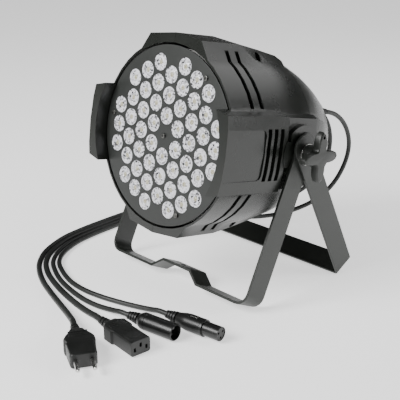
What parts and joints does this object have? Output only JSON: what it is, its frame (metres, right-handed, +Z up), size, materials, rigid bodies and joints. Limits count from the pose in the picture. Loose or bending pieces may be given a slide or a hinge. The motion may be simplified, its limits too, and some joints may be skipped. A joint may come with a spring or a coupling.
{
  "type": "stage par can light",
  "caption": "Stage par can light with a panel of small round lenses, a domed vented housing, a folding double yoke with star knobs, and mains and data leads.",
  "frame": {"origin": "on the floor under the middle of the light, without its leads", "axes": "+Z up, +Y towards the back of the light, +X along the pivot towards the right knob as seen from the front"},
  "size_m": [0.357, 0.4964, 0.2948],
  "materials": {
    "housing_black": "satin black moulded housing",
    "panel_grey": "satin dark grey painted sheet",
    "yoke_paint": "dark grey powder coat",
    "lens_clear": "clear moulded optics",
    "board_green": "printed circuit board",
    "board_white": "white LED board",
    "aluminium": "plain aluminium",
    "plated_steel": "zinc-plated steel",
    "black_steel": "blackened steel",
    "knob_plastic": "black moulded knob",
    "fan_black": "black moulded plastic",
    "cord_rubber": "black flexible sheath",
    "plug_rubber": "black moulded rubber",
    "plug_shell": "black-coated metal shell",
    "display_red": "dark red display window",
    "button_grey": "grey key caps"
  },
  "bodies": {
    "can": {"control_board": "board_green", "cord_mains_in": "cord_rubber", "cord_mains_out": "cord_rubber", "cord_xlr_female": "cord_rubber", "cord_xlr_male": "cord_rubber", "display_module": "display_red", "fan_frame": "fan_black", "front_panel": "panel_grey", "gland_mains_in": "plug_rubber", "gland_mains_out": "plug_rubber", "gland_xlr_female": "plug_rubber", "gland_xlr_male": "plug_rubber", "heat_sink": "aluminium", "housing_left": "housing_black", "housing_right": "housing_black", "housing_screw_bottom": "black_steel", "housing_screw_top": "black_steel", "led_board": "board_white", "lens_array": "lens_clear", "mains_plug_body": "plug_rubber", "mains_plug_pin_left": "plated_steel", "mains_plug_pin_right": "plated_steel", "mains_plug_relief": "plug_rubber", "mains_socket_body": "plug_rubber", "mains_socket_relief": "plug_rubber", "panel_screw_1": "plated_steel", "panel_screw_2": "plated_steel", "panel_screw_3": "plated_steel", "panel_screw_4": "plated_steel", "pivot_bolt_left": "plated_steel", "pivot_bolt_right": "plated_steel", "power_supply": "aluminium", "rear_cap": "housing_black", "rear_panel": "housing_black", "rear_screw_1": "plated_steel", "rear_screw_2": "plated_steel", "rear_screw_3": "plated_steel", "rear_screw_4": "plated_steel", "washer_left": "plated_steel", "washer_right": "plated_steel", "xlr_female_body": "plug_shell", "xlr_female_boot": "plug_rubber", "xlr_female_insert": "plug_rubber", "xlr_male_boot": "plug_rubber", "xlr_male_insert": "plated_steel", "xlr_male_shell": "plug_shell"},
    "front_yoke": {"front_yoke": "yoke_paint"},
    "rear_yoke": {"rear_yoke": "yoke_paint"},
    "knob_left": {"knob_left": "knob_plastic"},
    "knob_right": {"knob_right": "knob_plastic"},
    "fan_rotor": {"fan_rotor": "fan_black"},
    "latch": {"xlr_female_latch": "plated_steel"},
    "menu_button_1": {"menu_button_1": "button_grey"},
    "menu_button_2": {"menu_button_2": "button_grey"},
    "menu_button_3": {"menu_button_3": "button_grey"},
    "menu_button_4": {"menu_button_4": "button_grey"}
  },
  "joints": [
    {"name": "front_yoke_swing", "type": "hinge", "parent": "can", "child": "front_yoke", "pos_m": [0, -0.00167, 0.1672], "axis": [1, 0, 0], "range_deg": [-120, 20]},
    {"name": "rear_yoke_swing", "type": "hinge", "parent": "can", "child": "rear_yoke", "pos_m": [0, -0.00167, 0.1672], "axis": [1, 0, 0], "range_deg": [-20, 45]},
    {"name": "knob_left_turn", "type": "hinge", "parent": "can", "child": "knob_left", "pos_m": [0, -0.00167, 0.1672], "axis": [-1, 0, 0], "continuous": true},
    {"name": "knob_right_turn", "type": "hinge", "parent": "can", "child": "knob_right", "pos_m": [0, -0.00167, 0.1672], "axis": [1, 0, 0], "continuous": true},
    {"name": "fan_spin", "type": "hinge", "parent": "can", "child": "fan_rotor", "pos_m": [0, -0.05115, 0.17458], "axis": [0, 0.9842, -0.1771], "continuous": true},
    {"name": "latch_press", "type": "slide", "parent": "can", "child": "latch", "axis": [0, 0, -1], "range_m": [0, 0.001], "stiffness_N_per_m": 400},
    {"name": "menu_button_1_press", "type": "slide", "parent": "can", "child": "menu_button_1", "axis": [0, -0.9842, 0.1771], "range_m": [0, 0.001], "stiffness_N_per_m": 400},
    {"name": "menu_button_2_press", "type": "slide", "parent": "can", "child": "menu_button_2", "axis": [0, -0.9842, 0.1771], "range_m": [0, 0.001], "stiffness_N_per_m": 400},
    {"name": "menu_button_3_press", "type": "slide", "parent": "can", "child": "menu_button_3", "axis": [0, -0.9842, 0.1771], "range_m": [0, 0.001], "stiffness_N_per_m": 400},
    {"name": "menu_button_4_press", "type": "slide", "parent": "can", "child": "menu_button_4", "axis": [0, -0.9842, 0.1771], "range_m": [0, 0.001], "stiffness_N_per_m": 400}
  ]
}
